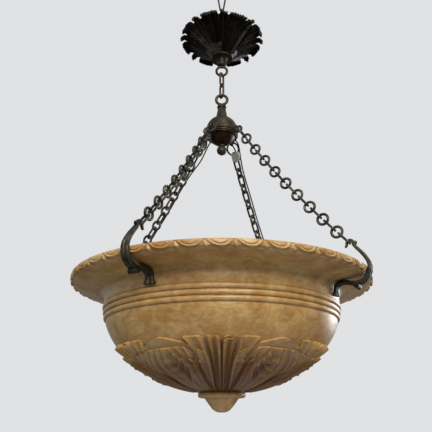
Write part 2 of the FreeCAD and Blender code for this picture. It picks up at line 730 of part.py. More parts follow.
INNER_HAUNCH = ("haunch_radius - bowl_wall * 0.75", "-haunch_drop + bowl_wall * 0.66")
INNER_BELLY = ("belly_radius - bowl_wall * 0.9", "-belly_drop + bowl_wall * 0.4")
reeds = []
for k in range(3):
    high = f"(reed_top + {k} * reed_pitch)"
    out = f"(bowl_neck + reed_proud - {k} * reed_taper)"
    reeds += [
        (out, f"-{high} - reed_pitch / 2",
         f"{out} - reed_depth - reed_taper / 2", f"-{high} - reed_pitch"),
    ]
bowl = turned("bowl", ("rim_radius - lip_round", "0"), [
    ("rim_radius - lip_round * 0.3", "-lip_round * 0.3", "rim_radius", "-lip_round"),
    ("rim_radius", "-lip_edge + lip_round"),
    ("rim_radius - lip_round * 0.3", "-lip_edge + lip_round * 0.3",
     "rim_radius - lip_round", "-lip_edge"),
    ("bowl_neck + cove_radius", "-lip_root"),
    ("bowl_neck + cove_radius * 0.293", "-lip_root - cove_radius * 0.293",
     "bowl_neck", "-lip_root - cove_radius"),
    ("bowl_neck + reed_proud - reed_depth", "-reed_top"),
    *reeds,
    ("belly_radius", "-belly_drop", "haunch_radius", "-haunch_drop"),
    ("flank_radius", "-flank_drop", "boss_radius + 0.5", "-bowl_depth + 2.5"),
    ("boss_radius - 2", "-bowl_depth"),
    ("dowel_radius + dowel_play", "-bowl_depth"),
    ("dowel_radius + dowel_play", "-bowl_depth + bowl_wall"),
    ("boss_radius", "-bowl_depth + bowl_wall + 1"),
    ("flank_radius - bowl_wall * 0.5", "-flank_drop + bowl_wall * 0.9") + INNER_HAUNCH,
    INNER_BELLY + ("bowl_neck + reed_proud - bowl_wall - 4", "-reed_top - reed_pitch * 3"),
    ("bowl_neck - bowl_wall", "-lip_root - cove_radius"),
    ("bowl_neck - bowl_wall", "-4"),
    ("bowl_neck - bowl_wall + 1.2", "-1.2", "bowl_neck - bowl_wall + 4", "0"),
    ("rim_radius - lip_round", "0"),
])
keep("bowl", bowl, rim_level)

# ---- bottom boss ------------------------------------------------------------------------------
# A stepped disc and a drop-shaped knob of the same stone, with a dowel up into the bowl.

boss = turned("boss", ("0", "dowel_length"), [
    ("dowel_radius", "dowel_length"),
    ("dowel_radius", "0"),
    ("boss_radius - 1", "0"),
    ("boss_radius + 0.6", "-boss_disc * 0.4", "boss_radius - 3", "-boss_disc + 1"),
    ("knob_radius + 1", "-boss_disc"),
    ("knob_radius - 3.5", "-boss_disc - knob_drop * 0.3", "knob_radius * 0.62",
     "-boss_disc - knob_drop * 0.68"),
    ("knob_radius * 0.36", "-boss_disc - knob_drop * 0.93", "1.5", "-boss_disc - knob_drop"),
    ("0", "-boss_disc - knob_drop"),
    ("0", "dowel_length"),
])
keep("bottom_boss", boss, rim_level - size("bowl_depth"))

# ---- lamp bar, lampholders and lamps ----------------------------------------------------------
# A brass strap rests across the bowl on its two turned-up ends and carries two lampholders.

BAR_AZIMUTH = size("first_azimuth") + 45
heel_x, heel_z = f"({INNER_HAUNCH[0]} - bar_gap)", f"({INNER_HAUNCH[1]} + bar_gap)"
tip_x, tip_z = f"({INNER_BELLY[0]} - bar_gap)", f"({INNER_BELLY[1]} + bar_gap)"
rise = f"atan(({tip_z} - {heel_z}) / ({tip_x} - {heel_x}))"
strap = [(heel_x, heel_z), (tip_x, tip_z),
         (f"{tip_x} - bar_thick * sin({rise})", f"{tip_z} + bar_thick * cos({rise})"),
         (f"{heel_x} - bar_thick * tan({rise} / 2)", f"{heel_z} + bar_thick")]
strap += [("-(" + x + ")", z) for x, z in strap[::-1]]
bar_body = doc.addObject("PartDesign::Body", "bar_body")
bar_sketch = sketch_in(bar_body, "bar_outline", "XZ_Plane")
draw(bar_sketch, strap[0], strap[1:] + strap[:1])
bar = bar_body.newObject("PartDesign::Pad", "bar_pad")
bar.Profile = bar_sketch
bar.Midplane = True
bar.setExpression("Length", bind("bar_width"))
bar_body.Tip = bar
keep("lamp_bar", bar_body, rim_level, 0, BAR_AZIMUTH)

holder_level = rim_level + size(heel_z + " + bar_thick")
for side, turn in (("right", 0), ("left", 180)):
    azimuth = BAR_AZIMUTH + turn
    holder = turned("holder_" + side, ("0", "0"), [
        ("holder_radius * 0.6", "0"),
        ("holder_radius * 0.6", "3"),
        ("holder_radius", "6"),
        ("holder_radius", "holder_height"),
        ("holder_radius - holder_wall", "holder_height"),
        ("holder_radius - holder_wall", "holder_height - cap_height - 4"),
        ("0", "holder_height - cap_height - 4"),
        ("0", "0"),
    ])
    keep("lampholder_" + side, holder, holder_level, size("lamp_spread"), azimuth)
    cap = turned("cap_" + side, ("0", "0"), [
        ("cap_radius - 3", "0"),
        ("cap_radius", "3"),
        ("cap_radius", "cap_height"),
        ("0", "cap_height"),
        ("0", "0"),
    ])
    cap_level = holder_level + size("holder_height - cap_height - 4")
    keep("lamp_cap_" + side, cap, cap_level, size("lamp_spread"), azimuth)
    bulb = turned("bulb_" + side, ("0", "0"), [
        ("cap_radius - 0.5", "0"),
        ("cap_radius + 1", "bulb_height * 0.2", "bulb_radius", "bulb_height - bulb_radius"),
        ("bulb_radius * sin(45)", "bulb_height - bulb_radius + bulb_radius * cos(45)",
         "0", "bulb_height"),
        ("0", "0"),
    ])
    keep("lamp_glass_" + side, bulb, cap_level + size("cap_height"), size("lamp_spread"), azimuth)

# ---- leads and terminal block -----------------------------------------------------------------
# Thin flexible leads. One runs down each back chain, over the rim and to a lampholder. On the right
# the feed is joined to it in a block beside the chain's top.


def round_the_axis(radius, azimuth, height):
    angle = math.radians(azimuth)
    return Vector(radius * math.cos(angle), radius * math.sin(angle), height)


def beside_chain(place, azimuth, aside, inward):
    """A point by a chain. Place counts the chain's pieces from 0, aside is square to its plane, and
    inward is square to the chain in that plane, towards the axis."""
    low = int(place)
    spot = centres[low][0] + (centres[low + 1][0] - centres[low][0]) * (place - low)
    angle = math.radians(centres[low][1])
    spot = spot + Vector(-math.sin(angle) * inward, aside, -math.cos(angle) * inward)
    return FreeCAD.Rotation(UP, azimuth).multVec(spot)


def lead(name, points):
    """A lead of straight runs and tangent arcs through points set by hand."""
    radii = []
    for a, b, c in zip(points, points[1:], points[2:]):
        half_turn = (math.pi - (a - b).getAngle(c - b)) / 2
        radii.append(0.45 * min((a - b).Length, (c - b).Length) / math.tan(half_turn))
    path = tangent_path(points, radii)
    item = feature(name + "_shape", swept(path, Part.Wire(Part.makeCircle(size("lead_thick") / 2))))
    expected = math.pi * size("lead_thick") ** 2 / 4 * path.Length
    print(name, "radii", [round(radius, 1) for radius in radii], "length", round(path.Length, 1),
          "volume over section x length", round(item.Shape.Volume / expected, 4))
    keep(name, item)


aside = -size("lead_aside")
wide = -size("lead_wide")
entry = size("holder_radius + seat_gap")
holder_side = holder_level + size("holder_height") * 0.4
plate_side = size("plate_radius") + 0.8
for name, azimuth, turn, bay in (("right", CHAINS["back_right"], -1, 14),
                                 ("left", CHAINS["back_left"], 1, 3)):
    run = [
        round_the_axis(plate_side, azimuth - 22, crown_level - 2.5),
        round_the_axis(plate_side + 11, azimuth - 22, crown_level - 7),
        beside_chain(0.2, azimuth, wide, bay * 0.4),
        beside_chain(1.75, azimuth, wide, bay),
        beside_chain(3.6, azimuth, aside, 1.5),
        beside_chain(6, azimuth, aside, -1),
        beside_chain(9, azimuth, aside, 1),
        beside_chain(12, azimuth, aside, -1),
        beside_chain(14.6, azimuth, aside, 3),
    ]
    tail = [(178, 1, 44), (158, 6, 8), (138, 14, -28), (116, 25, -60)]
    run += [round_the_axis(r, azimuth + turn * swing, rim_level + z) for r, swing, z in tail]
    lamp = round_the_axis(size("lamp_spread"), azimuth + turn * 45, holder_side)
    out = run[-1] - lamp
    out.z = 0
    out.normalize()
    run += [lamp + out * (entry + 17), lamp + out * entry]
    lead("lead_" + name, run)

# The block is seen in front of the first small ring, against the lead's inner side.
block = primitive("Box", "terminal_block_box", Length="block_length", Width="block_width",
                  Height="block_thick")
block_corner = beside_chain(1, CHAINS["back_right"], -size("block_width") - 0.8, 14)
block_turn = FreeCAD.Rotation(UP, CHAINS["back_right"])
block_turn = block_turn * FreeCAD.Rotation(Vector(0, 1, 0), centres[1][1])
offset = Vector(-size("block_length") / 2, 0, -size("block_thick") / 2)
block.Label = "terminal_block"
block.Placement = FreeCAD.Placement(block_corner + block_turn.multVec(offset), block_turn)
kept[block.Label] = block

block_in = block_corner + block_turn.multVec(Vector(-size("block_length / 2 + seat_gap"), 3.5, 0))
feed = [round_the_axis(plate_side - 0.9, CHAINS["back_right"] - 10, crown_level - 9),
        round_the_axis(plate_side + 2.2, CHAINS["back_right"] - 9.5, crown_level - 13.5),
        block_in - block_turn.multVec(Vector(size("lead_thick") * 2, 0, 0)),
        block_in]
lead("feed_lead", feed)

# ---- check and write --------------------------------------------------------------------------

doc.recompute()
for item in doc.Objects:
    if "Invalid" in item.State or "Error" in item.State:
        raise SystemExit(f"{item.Name} failed: {item.State}")
for name, item in kept.items():
    if item.Shape.isNull() or not item.Shape.isValid():
        raise SystemExit(f"{name} has no valid shape")

os.makedirs("parts", exist_ok=True)
for name, item in kept.items():
    item.Shape.exportStep(f"parts/{name}.step")
    print(name, len(item.Shape.Solids), round(item.Shape.Volume / 1000, 2))
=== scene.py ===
import math

import bmesh
import bpy
from mathutils import Matrix, Vector


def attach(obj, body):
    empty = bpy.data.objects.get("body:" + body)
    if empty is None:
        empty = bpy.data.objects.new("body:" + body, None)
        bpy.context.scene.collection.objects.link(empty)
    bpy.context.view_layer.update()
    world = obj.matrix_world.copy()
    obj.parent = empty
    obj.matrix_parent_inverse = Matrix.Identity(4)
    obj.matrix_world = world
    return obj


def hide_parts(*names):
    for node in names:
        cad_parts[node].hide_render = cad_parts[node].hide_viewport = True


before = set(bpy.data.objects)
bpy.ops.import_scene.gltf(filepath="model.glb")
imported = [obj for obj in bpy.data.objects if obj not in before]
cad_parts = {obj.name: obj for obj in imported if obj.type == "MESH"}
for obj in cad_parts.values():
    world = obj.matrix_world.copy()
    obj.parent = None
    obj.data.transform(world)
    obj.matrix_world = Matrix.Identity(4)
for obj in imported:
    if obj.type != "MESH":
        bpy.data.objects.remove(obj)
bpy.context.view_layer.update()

# ---- camera, floor and light ----
# The pendant hangs before a pale backdrop and is seen from below its rim. A soft lamp stands above and
# in front of it, and a tall one behind it on the right. The floor is a dull disc far below.

EYE, LOOKS_UP, FOCAL_LENGTH, SIDE_SHIFT = (0, -0.8582, -0.8504), 21.66, 42.54, -0.0133
FLOOR_LEVEL, FLOOR_RADIUS = -1.6, 1.1
camera = bpy.data.objects.new("camera", bpy.data.cameras.new("camera"))
camera.data.lens = FOCAL_LENGTH
camera.data.shift_x = SIDE_SHIFT
camera.location = EYE
camera.rotation_euler = (math.radians(90 + LOOKS_UP), 0, 0)
bpy.context.collection.objects.link(camera)
bpy.context.scene.camera = camera
bpy.context.scene.view_settings.view_transform = "Standard"


def tint(code):
    """A colour written as six hex digits, as the shader's linear values."""
    parts = [int(code[k:k + 2], 16) / 255 for k in (0, 2, 4)]
    return [c / 12.92 if c < 0.04045 else ((c + 0.055) / 1.055) ** 2.4 for c in parts] + [1]


class Wired:
    """A socket in a node tree. Sums and products on it add Math nodes."""

    def __init__(self, tree, socket=None):
        self.tree = tree
        self.socket = socket

    def node(self, kind, settings, sockets, out=0):
        """Add a node: first its settings, then the values or links of its sockets."""
        made = self.tree.nodes.new("ShaderNode" + kind)
        for key, value in settings.items():
            if key == "stops":
                ramp = made.color_ramp.elements
                for number, (place, color) in enumerate(value):
                    stop = ramp[number] if number < 2 else ramp.new(place)
                    stop.position = place
                    stop.color = color
            else:
                setattr(made, key, value)
        for key, value in sockets.items():
            self.plug(made, key, value)
        return Wired(self.tree, made.outputs[out])

    def plug(self, node, key, value):
        if isinstance(value, Wired):
            self.tree.links.new(value.socket, node.inputs[key])
        else:
            node.inputs[key].default_value = value

    def maths(self, operation, first, second=0.0):
        return self.node("Math", {"operation": operation}, {0: first, 1: second})

    def mix(self, factor, first, second):
        """Blend two colours."""
        return self.node("Mix", {"data_type": "RGBA"}, {0: factor, 6: first, 7: second}, 2)

    def __add__(self, other):
        return self.maths("ADD", self, other)

    def __sub__(self, other):
        return self.maths("SUBTRACT", self, other)

    def __rsub__(self, other):
        return self.maths("SUBTRACT", other, self)

    def __mul__(self, other):
        return self.maths("MULTIPLY", self, other)

    def __abs__(self):
        return self.maths("ABSOLUTE", self)

    __radd__ = __add__
    __rmul__ = __mul__


world = bpy.data.worlds.new("pale_room")
bpy.context.scene.world = world
world.use_nodes = True
room = Wired(world.node_tree)
ray = room.node("LightPath", {}, {})
facing = room.node("TexCoord", {}, {})
height = room.node("SeparateXYZ", {}, {0: facing}, 2)
above = room.node("MapRange", {"interpolation_type": "SMOOTHSTEP"}, {0: height, 1: -0.45, 2: 0.35})
daylight = room.mix(above, tint("2c2a28"), tint("f6f8fb"))
wall = room.mix(height * 0.5 + 0.5, tint("e2e3e3"), tint("dfe1e4"))
backdrop = world.node_tree.nodes["Background"]
room.plug(backdrop, "Color", room.mix(ray, daylight, wall))
room.plug(backdrop, "Strength", ray * 0.4 + 0.6)

for name, place, aim, width, tall, watts, color in (
        ("front_daylight", (0.25, -2.0, 0.25), (0, 0, -0.66), 1.2, 1.0, 34, "fffaf2"),
        ("back_daylight", (1.55, 1.25, -0.30), (0.1, 0, -0.68), 0.7, 1.3, 20, "f2f6ff")):
    lamp = bpy.data.objects.new(name, bpy.data.lights.new(name, "AREA"))
    lamp.data.shape = "RECTANGLE"
    lamp.data.size = width
    lamp.data.size_y = tall
    lamp.data.energy = watts
    lamp.data.color = tint(color)[:3]
    lamp.location = place
    lamp.rotation_euler = (Vector(aim) - Vector(place)).to_track_quat("-Z", "Y").to_euler()
    bpy.context.collection.objects.link(lamp)

floor_shape = bmesh.new()
bmesh.ops.create_circle(floor_shape, cap_ends=True, radius=FLOOR_RADIUS, segments=64)
bmesh.ops.translate(floor_shape, verts=floor_shape.verts, vec=(0, 0, FLOOR_LEVEL))
floor_mesh = bpy.data.meshes.new("floor")
floor_shape.to_mesh(floor_mesh)
floor_shape.free()
floor = bpy.data.objects.new("floor", floor_mesh)
bpy.context.collection.objects.link(floor)
floor_mesh.materials.append(bpy.data.materials.new("floor_paint"))
floor_mesh.materials[0].use_nodes = True
floor_paint = Wired(floor_mesh.materials[0].node_tree)
floor_base = floor_paint.tree.nodes["Principled BSDF"]
floor_paint.plug(floor_base, "Base Color", tint("b2b2b0"))
floor_paint.plug(floor_base, "Roughness", 0.8)

# ---- hanging loop and stem ----
# A loop of bent wire and a turned rod with an eye, hung in each other. Both are bronze, left dark and
# dull, with grey brown patches and a little green.


def new_finish(name):
    """A material, and its object coordinates in metres for patterns."""
    material = bpy.data.materials.new(name)
    material.use_nodes = True
    return material, Wired(material.node_tree).node("TexCoord", {}, {}, 3)


def clouds(place, scale, detail=3.0, rough=0.5, twist=0.0):
    return place.node("TexNoise", {}, {"Vector": place, "Scale": scale, "Detail": detail,
                                       "Roughness": rough, "Distortion": twist})


def spread(value, low, high):
    """Stretch the part of a pattern between low and high to 0 and 1."""
    return value.node("MapRange", {"interpolation_type": "SMOOTHSTEP"},
                      {0: value, 1: low, 2: high, 3: 0.0, 4: 1.0})


def set_shader(material, **values):
    shader = material.node_tree.nodes["Principled BSDF"]
    for key, value in values.items():
        Wired(material.node_tree).plug(shader, key.replace("_", " ").title(), value)


def bumps(place, height, depth):
    return place.node("Bump", {}, {"Strength": 1.0, "Distance": depth, "Height": height})


def bronze_finish(name, dark, light, green, roughness=0.45, crest_highlight=None):
    """Cast or drawn bronze with a dull brown skin. The last colour, if given, is a painted highlight on
    raised crests.
    """
    material, place = new_finish(name)
    patches = clouds(place, 70, 4, 0.6)
    grain = clouds(place, 900, 2)
    skin = place.mix(spread(patches, 0.35, 0.7), tint(dark), tint(light))
    skin = place.mix(spread(clouds(place, 38, 5, 0.65), 0.52, 0.72) * 0.7, skin, tint(green))
    if crest_highlight:
        # Painted highlight: raised crests, where the hollow attribute is low, are lighter.
        crest = 1 - place.node("Attribute", {"attribute_name": "hollow"}, {}, 2)
        skin = place.mix(crest * crest * spread(patches, 0.3, 0.7) * 0.8, skin, tint(crest_highlight))
    set_shader(material, base_color=skin, metallic=spread(patches, 0.2, 0.8) * 0.3 + 0.55,
               roughness=grain * 0.25 + (roughness - 0.08),
               normal=bumps(place, grain * 0.4 + patches, 0.0006))
    return material


def clothe(material, *nodes):
    """Give CAD nodes a finish."""
    for name in nodes:
        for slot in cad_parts[name].material_slots:
            slot.material = material


cast_bronze = bronze_finish("cast_bronze", "2a2521", "55503f", "4c5040")
clothe(cast_bronze, "hanging_loop", "stem")


def piece(name, shape, material, body, replaced, crease=38):
    """Make an object of a bmesh, with its finish, the body it rides on and the nodes it replaces."""
    mesh = bpy.data.meshes.new(name)
    shape.to_mesh(mesh)
    shape.free()
    mesh.materials.append(material)
    mesh.shade_smooth()
    mesh.set_sharp_from_angle(angle=math.radians(crease))
    item = bpy.data.objects.new(name, mesh)
    bpy.context.collection.objects.link(item)
    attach(item, body)
    if replaced:
        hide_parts(*replaced)


# ---- stem collar ----
# A turned bronze flange at the foot of the stem, with a cast ring under it. The canopy rests on the
# flange and can slide up the stem from it.

clothe(cast_bronze, "stem_collar")

# ---- canopy ----
# A cast cup of acanthus leaves, eight wide and eight narrow, open upwards. Their tips curl out and down,
# and the whole cup is one casting, chased along the ribs. Its bronze is painted darker than the other
# castings as painted shade, and the rib crests carry a painted highlight.

SEAT = -0.15855  # level of the canopy's foot, in metres
CANOPY_WALL = 0.0021
CREST_SHARPNESS, EYE_DEPTH, EYE_LIP = 1.7, 4.4, 2.4  # of carved leaves, the last two in millimetres


def arc(first, middle, last, count):
    """Points on the circle through three points of a plane, without the first."""
    (ax, ay), (bx, by), (cx, cy) = first, middle, last
    d = 2 * (ax * (by - cy) + bx * (cy - ay) + cx * (ay - by))
    a, b, c = ax * ax + ay * ay, bx * bx + by * by, cx * cx + cy * cy
    ox = (a * (by - cy) + b * (cy - ay) + c * (ay - by)) / d
    oy = (a * (cx - bx) + b * (ax - cx) + c * (bx - ax)) / d
    radius = math.hypot(ax - ox, ay - oy)
    turns = [math.atan2(y - oy, x - ox) for x, y in (first, middle, last)]
    swing = (turns[2] - turns[0]) % math.tau
    if (turns[1] - turns[0]) % math.tau > swing:
        swing -= math.tau
    return [(ox + radius * math.cos(turns[0] + swing * k / count),
             oy + radius * math.sin(turns[0] + swing * k / count)) for k in range(1, count + 1)]


def spun(outline, level, steps):
    """A bmesh turned about the Z axis from a closed outline of radius and height in millimetres."""
    shape = bmesh.new()
    corners = [shape.verts.new((r / 1000, 0, z / 1000 + level)) for r, z in outline]
    edges = [shape.edges.new((a, b)) for a, b in zip(corners, corners[1:] + corners[:1])]
    bmesh.ops.spin(shape, geom=corners + edges, cent=(0, 0, 0), axis=(0, 0, 1), angle=math.tau,
                   steps=steps, use_merge=True)
    bmesh.ops.remove_doubles(shape, verts=shape.verts, dist=1e-6)
    bmesh.ops.recalc_face_normals(shape, faces=shape.faces)
    return shape


class Ground:
    """An outline of radius and height that leaves are laid on, measured along its length."""

    def __init__(self, points):
        self.points = points
        self.marks = [0.0]
        for (ax, ay), (bx, by) in zip(points, points[1:]):
            self.marks.append(self.marks[-1] + math.hypot(bx - ax, by - ay))

    def mark_at(self, radius):
        """How far along the outline it reaches a radius. The radius has to grow all the way."""
        for number in range(1, len(self.points)):
            (ax, ay), (bx, by) = self.points[number - 1], self.points[number]
            if radius <= bx or number == len(self.points) - 1:
                part = (radius - ax) / (bx - ax)
                return self.marks[number - 1] + part * (self.marks[number] - self.marks[number - 1])

    def flat(self, along, proud):
        """Radius and height of a point that stands proud of the outline, on its right-hand side."""
        number = 1
        while number < len(self.marks) - 1 and self.marks[number] < along:
            number += 1
        (ax, ay), (bx, by) = self.points[number - 1], self.points[number]
        length = self.marks[number] - self.marks[number - 1]
        part = (along - self.marks[number - 1]) / length
        radius = ax + (bx - ax) * part + (by - ay) / length * proud
        return radius, ay + (by - ay) * part - (bx - ax) / length * proud


def ramp(low, high, value):
    """0 at low, 1 at high, eased between."""
    part = min(max((value - low) / (high - low), 0), 1)
    return part * part * (3 - 2 * part)


def through(knots, t):
    """A smooth value at t from 0 to 1 through evenly spaced knots."""
    spans = len(knots) - 1
    number = min(int(t * spans), spans - 1)
    part = t * spans - number
    before = knots[max(number - 1, 0)]
    first, last = knots[number], knots[number + 1]
    after = knots[min(number + 2, spans)]
    return first + 0.5 * part * (last - before + part * (
        2 * before - 5 * first + 4 * last - after + part * (3 * (first - last) + after - before)))


def loft_leaf(shape, ground, level, ribs, columns, rows, centre, flip=1, eyes=(), sink=3.6):
    """Lay a carved leaf on the ground. Each rib holds knots of azimuth, of place along the ground and
    of height. The surface runs from rib to rib with narrow crests, and its edge sinks. Each eye is
    a drilled hollow with a raised lip, at a rib, a part of the length, and with a size."""
    across = (len(ribs) - 1) * columns + 2
    made = bmesh.ops.create_grid(shape, x_segments=across, y_segments=rows + 2, size=0.5)["verts"]
    hollow = shape.verts.layers.float["hollow"]
    for vert in made:
        column, row = round((vert.co.x + 0.5) * across), round((vert.co.y + 0.5) * (rows + 2))
        u = min(max(column - 1, 0), across - 2) / columns
        t = min(max(row - 1, 0), rows) / rows
        number = min(int(u), len(ribs) - 2)
        ease = ramp(0, 1, u - number)
        values = [[through(knots, t) for knots in rib] for rib in ribs[number:number + 2]]
        azimuth, along, height = (a * (1 - ease) + b * ease for a, b in zip(*values))
        low, high = sorted((values[0][2], values[1][2]))
        if high > low:
            height = low + (high - low) * ((height - low) / (high - low)) ** CREST_SHARPNESS
        for eye_u, eye_t, size in eyes:
            gap = math.hypot((u - eye_u) / 0.95, (t - eye_t) / size)
            lip = math.hypot((u - eye_u + 0.4) / 1.5, (t - eye_t) / size / 1.1)
            height -= EYE_DEPTH * math.exp(-1.2 * gap ** 2)
            height += EYE_LIP * math.exp(-((lip - 1.4) / 0.34) ** 2) * ramp(eye_t, eye_t - size, t)
        # Hollow: how deep a point lies in the carving. The stone shows it as painted shade, and the
        # canopy's bronze as a painted highlight on the crests.
        vert[hollow] = ramp(3.6, -1.8, height)
        if column in (0, across) or row in (0, rows + 2):
            height = min(height, 0) - sink
            vert[hollow] = 1
        radius, z = ground.flat(along, height)
        turn = math.radians(centre + flip * azimuth)
        vert.co = Vector((radius * math.cos(turn), radius * math.sin(turn), z + level * 1000)) / 1000
    if flip < 0:
        bmesh.ops.reverse_faces(shape, faces=list({face for vert in made for face in vert.link_faces}))


canopy_line = Ground([(19, 1.5), (22, 3)] + arc((22, 3), (50, 31), (75.5, 46.3), 18)
                     + arc((75.5, 46.3), (81.8, 46.0), (79.6, 40.6), 9))
canopy_length = canopy_line.marks[-1]


def canopy_rib(azimuth, reach, height):
    """A rib from the cup's foot to its curled tip."""
    return ([azimuth] * 4, [0, canopy_length * 0.33, canopy_length * 0.66, canopy_length * reach],
            [height * 0.2, height * 0.9, height * 1.1, height])


# From a wide lobe's middle to a narrow one's: azimuth, reach and height of each rib.
half_lobe = [(0, 1.0, 2.0), (2.0, 0.985, -0.4), (4.0, 1.0, 1.7), (5.8, 0.955, -1.2), (7.8, 0.99, 1.7),
             (9.6, 0.97, -0.4), (11.3, 0.965, 1.4), (12.3, 0.90, -0.4), (13.2, 0.84, -0.8),
             (15.0, 0.81, -1.4), (16.8, 0.84, -0.8), (17.7, 0.90, -0.2), (18.6, 0.955, 1.2),
             (20.6, 0.965, -0.4), (22.5, 0.99, 1.6)]
lobe = [canopy_rib(-azimuth, reach, height) for azimuth, reach, height in half_lobe[:0:-1]]
lobe += [canopy_rib(*rib) for rib in half_lobe]
canopy = bmesh.new()
canopy.verts.layers.float.new("hollow")
for number in range(8):
    loft_leaf(canopy, canopy_line, SEAT, lobe, 3, 34, -19.5 + 45 * number, sink=0)
bmesh.ops.recalc_face_normals(canopy, faces=canopy.faces)
bmesh.ops.solidify(canopy, geom=canopy.faces[:], thickness=CANOPY_WALL)
foot = spun([(4, 0), (19, 0), (22, 2), (24.5, 6), (32, 14), (31, 17), (22, 8.6), (4, 6.6)], SEAT, 64)
foot_mesh = bpy.data.meshes.new("canopy_foot")
foot.to_mesh(foot_mesh)
foot.free()
canopy.from_mesh(foot_mesh)
# Painted shade: the cup's bronze is darker than the other castings. The last colour is a painted highlight
# on the rib crests.
piece("canopy_cup", canopy, bronze_finish("canopy_bronze_painted_shade", "171311", "2c2621", "2a2a22", 0.4, "6f6a60"),
      "canopy", ["canopy"], 50)

# ---- neck links ----
# Two long links of drawn wire, each bent to an oval and closed. They join the ring under the stem to
# the ring on the crown, and are browner than the rest.

clothe(bronze_finish("link_bronze", "3b2a1e", "6a4f38", "4f4334", 0.42),
       "neck_upper_link", "neck_lower_link")

# ---- crown, closing plate and finial ----
# A hollow cast dome with four pierced lugs, a screwed ring on its neck, and a dished plate below,
# which a ball finial holds on a rod. A double band runs round its foot, and green clouds its skin.

crown_bronze = bronze_finish("crown_bronze", "2e2a20", "5a5442", "555a3c", 0.5)
clothe(crown_bronze, "crown", "crown_ring", "ball_finial")
clothe(bronze_finish("plate_bronze", "2c1f1a", "4a382c", "3d3428", 0.3), "closing_plate")

CROWN_FOOT = -0.33585  # level of the dome's foot, in metres
band_line = [(28.6, 2)] + arc((28.6, 2), (31.6, -1.5), (30.2, -5.4), 8) + [(29.6, -5.8)]
band_line += arc((29.6, -5.8), (31.4, -7.7), (29.2, -9.8), 8)
band_line += arc((29.2, -9.8), (29.5, -11.2), (27.6, -11.9), 5)
band_line += [(25.5, -10.5), (26, 2)]
piece("crown_band", spun(band_line, CROWN_FOOT, 96), crown_bronze, "crown", [])

steel, place = new_finish("plain_steel")
scratches = clouds(place, 260, 3, 0.6)
set_shader(steel, base_color=place.mix(scratches, tint("6c6a66"), tint("9a9893")), metallic=1.0,
           roughness=scratches * 0.2 + 0.28)
clothe(steel, "centre_rod", "rod_nut")

# ---- chains ----
# Each chain is a large ring in the crown's lug, then small rings and long links in turn, bent from
# bronze wire and brazed. The wire is a lighter grey brown than the castings.

chain_bronze = bronze_finish("chain_bronze", "2b2823", "6b6557", "4d4a3c", 0.4)
SHACKLE, RING, LINK = (12.3, 3.6), (8.75, 4.5), (12.4, 4.0)  # half length at the wire's middle, and wire
LINK_END, PLAY = 5.0, 0.4
LUG_OUT, LUG_HEIGHT = 38.0894, -340.1579  # where a lug holds its chain, in millimetres
SLOPE, SAG = 53.8866, 10  # degrees: a chain's mean slope, and how much steeper it starts than it ends
CORNERS = (("front_right", -30), ("front_left", -120), ("back_left", 150), ("back_right", 60))
in_turn = [SHACKLE] + [RING, LINK] * 9


def wire_ring(mean, wire, around, sides, stretch=0.0):
    """A ring of round wire in the XY plane, drawn out along X into a link if stretch is given."""
    shape = bmesh.new()
    bmesh.ops.create_circle(shape, radius=wire / 2, segments=sides,
                            matrix=Matrix.Translation((0, mean, 0)) @ Matrix.Rotation(math.pi / 2, 4, "Y"))
    bmesh.ops.spin(shape, geom=shape.verts[:] + shape.edges[:], cent=(0, 0, 0), axis=(0, 0, 1),
                   angle=math.tau, steps=around, use_merge=True)
    bmesh.ops.remove_doubles(shape, verts=shape.verts, dist=1e-4)
    bmesh.ops.recalc_face_normals(shape, faces=shape.faces)
    for vert in shape.verts:
        if abs(vert.co.x) > 1e-3:
            vert.co.x += math.copysign(stretch, vert.co.x)
    return shape


def add_copy(target, source, matrix):
    """Put a copy of one bmesh into another."""
    mesh = bpy.data.meshes.new("copy")
    source.to_mesh(mesh)
    mesh.transform(matrix)
    target.from_mesh(mesh)
    bpy.data.meshes.remove(mesh)


chain_ring = wire_ring(*RING, 28, 12)
chain_link = wire_ring(LINK_END, LINK[1], 28, 12, LINK[0] - LINK_END)
large_ring = wire_ring(*SHACKLE, 40, 12)
steps = [SHACKLE[0]] + [a[0] + b[0] - (a[1] + b[1]) / 2 - PLAY for a, b in zip(in_turn, in_turn[1:])]
for side, azimuth in CORNERS:
    turned = Matrix.Rotation(math.radians(azimuth), 4, "Z")
    shapes = [bmesh.new(), bmesh.new(), bmesh.new()]
    x, z = LUG_OUT, LUG_HEIGHT
    for number, step in enumerate(steps):
        lean = math.radians(SLOPE + SAG * (0.5 - number / len(steps)))
        x += step * math.cos(lean)
        z -= step * math.sin(lean)
        place = turned @ Matrix.Translation((x / 1000, 0, z / 1000))
        place = place @ Matrix.Rotation(lean, 4, "Y") @ Matrix.Scale(0.001, 4)
        if number == 0:
            add_copy(shapes[0], large_ring, place)
        elif number % 2:
            add_copy(shapes[1], chain_ring, place @ Matrix.Rotation(math.pi / 2, 4, "X"))
        else:
            add_copy(shapes[2], chain_link, place)
    for kind, shape in zip(("shackle", "rings", "links"), shapes):
        piece(f"{side}_{kind}", shape, chain_bronze, "chain_" + side,
              [f"chain_{side}_{kind}"], 80)

# ---- hooks ----
# Cast hooks with a double rib. Each holds the chain's last link in its beak, passes round the rim
# and bears on a seat under the lip, with its foot against the bowl's neck.

